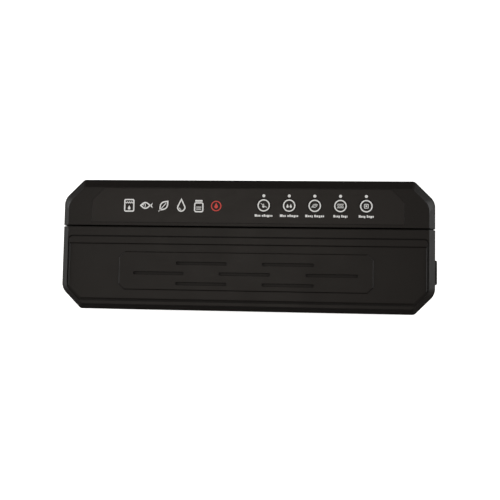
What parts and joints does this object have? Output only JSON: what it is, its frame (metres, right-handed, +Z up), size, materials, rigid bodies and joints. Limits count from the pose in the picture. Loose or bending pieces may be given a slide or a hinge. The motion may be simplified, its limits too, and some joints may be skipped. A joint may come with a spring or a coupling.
{
  "type": "vacuum sealer",
  "caption": "Bar-shaped household bag vacuum sealer with clipped corners, a hinged sealing lid, side release buttons and a rear key panel.",
  "frame": {"origin": "centre of the footprint at the feet's undersides", "axes": "+X to the user's right along the length, +Y to the rear (control panel), +Z up; the lid opens at the front (-Y)"},
  "size_m": [0.383, 0.131, 0.0582],
  "materials": {
    "housing": "fine textured satin black ABS",
    "inner_plastic": "moulded black ABS",
    "film": "satin printed black film",
    "key_cap": "satin black key with a printed white ring",
    "lens": "frosted light guide",
    "rubber_foot": "soft black rubber",
    "foam": "closed-cell sponge",
    "silicone": "translucent silicone",
    "phenolic": "heat-proof phenolic",
    "steel": "drawn steel",
    "tape": "PTFE-coated glass cloth",
    "brass": "plain brass",
    "motor_can": "zinc-plated can",
    "pump_plastic": "white nylon",
    "bracket_steel": "plated sheet",
    "board": "green solder mask",
    "component": "black component cases",
    "winding": "wound core with yellow tape",
    "cable": "insulated wire"
  },
  "bodies": {
    "base": {"base_shell": "inner_plastic", "foot_front_left": "rubber_foot", "foot_front_right": "rubber_foot", "foot_rear_left": "rubber_foot", "foot_rear_right": "rubber_foot", "base_screws": "steel", "sealing_platform": "inner_plastic", "vacuum_tray": "inner_plastic", "hinge_rail": "inner_plastic", "lower_gasket": "foam", "heater_bar": "phenolic", "heating_wire": "steel", "ptfe_tape": "tape", "heater_terminals": "brass", "control_cover": "housing", "panel_overlay": "film", "indicator_lenses": "lens", "control_board": "board", "tact_switches": "component", "board_screws": "steel", "pump_motor": "motor_can", "pump_head": "pump_plastic", "pump_bracket": "bracket_steel", "motor_mounts": "rubber_foot", "suction_nozzle": "pump_plastic", "release_valve": "component", "pressure_switch": "component", "air_hose": "silicone", "power_board": "board", "transformer": "winding", "filter_capacitor": "component", "relay": "component", "ribbon_cable": "cable", "mains_wires": "cable", "lid_switches": "component", "mains_inlet": "inner_plastic", "inlet_pins": "brass"},
    "lid": {"lid_shell": "housing", "lid_inner_plate": "inner_plastic", "upper_gasket": "foam", "lid_screws": "steel", "hinge_pin_left": "steel", "hinge_pin_right": "steel", "lid_hook_left": "inner_plastic", "lid_hook_right": "inner_plastic", "pressure_strip": "silicone"},
    "release_left": {"latch_button_left": "housing", "latch_spring_left": "steel"},
    "release_right": {"latch_button_right": "housing", "latch_spring_right": "steel"},
    "key_dry": {"key_dry": "key_cap"},
    "key_moist": {"key_moist": "key_cap"},
    "key_gentle": {"key_gentle": "key_cap"},
    "key_seal": {"key_seal": "key_cap"},
    "key_stop": {"key_stop": "key_cap"}
  },
  "joints": [
    {"name": "lid_hinge", "type": "hinge", "parent": "base", "child": "lid", "pos_m": [0, 0.0135, 0.0545], "axis": [-1, 0, 0], "range_deg": [0, 75]},
    {"name": "release_left_press", "type": "slide", "parent": "base", "child": "release_left", "axis": [1, 0, 0], "range_m": [0, 0.003], "stiffness_N_per_m": 500},
    {"name": "release_right_press", "type": "slide", "parent": "base", "child": "release_right", "axis": [-1, 0, 0], "range_m": [0, 0.003], "stiffness_N_per_m": 500},
    {"name": "key_dry_press", "type": "slide", "parent": "base", "child": "key_dry", "axis": [0, 0, -1], "range_m": [0, 0.0008], "stiffness_N_per_m": 900},
    {"name": "key_moist_press", "type": "slide", "parent": "base", "child": "key_moist", "axis": [0, 0, -1], "range_m": [0, 0.0008], "stiffness_N_per_m": 900},
    {"name": "key_gentle_press", "type": "slide", "parent": "base", "child": "key_gentle", "axis": [0, 0, -1], "range_m": [0, 0.0008], "stiffness_N_per_m": 900},
    {"name": "key_seal_press", "type": "slide", "parent": "base", "child": "key_seal", "axis": [0, 0, -1], "range_m": [0, 0.0008], "stiffness_N_per_m": 900},
    {"name": "key_stop_press", "type": "slide", "parent": "base", "child": "key_stop", "axis": [0, 0, -1], "range_m": [0, 0.0008], "stiffness_N_per_m": 900}
  ]
}
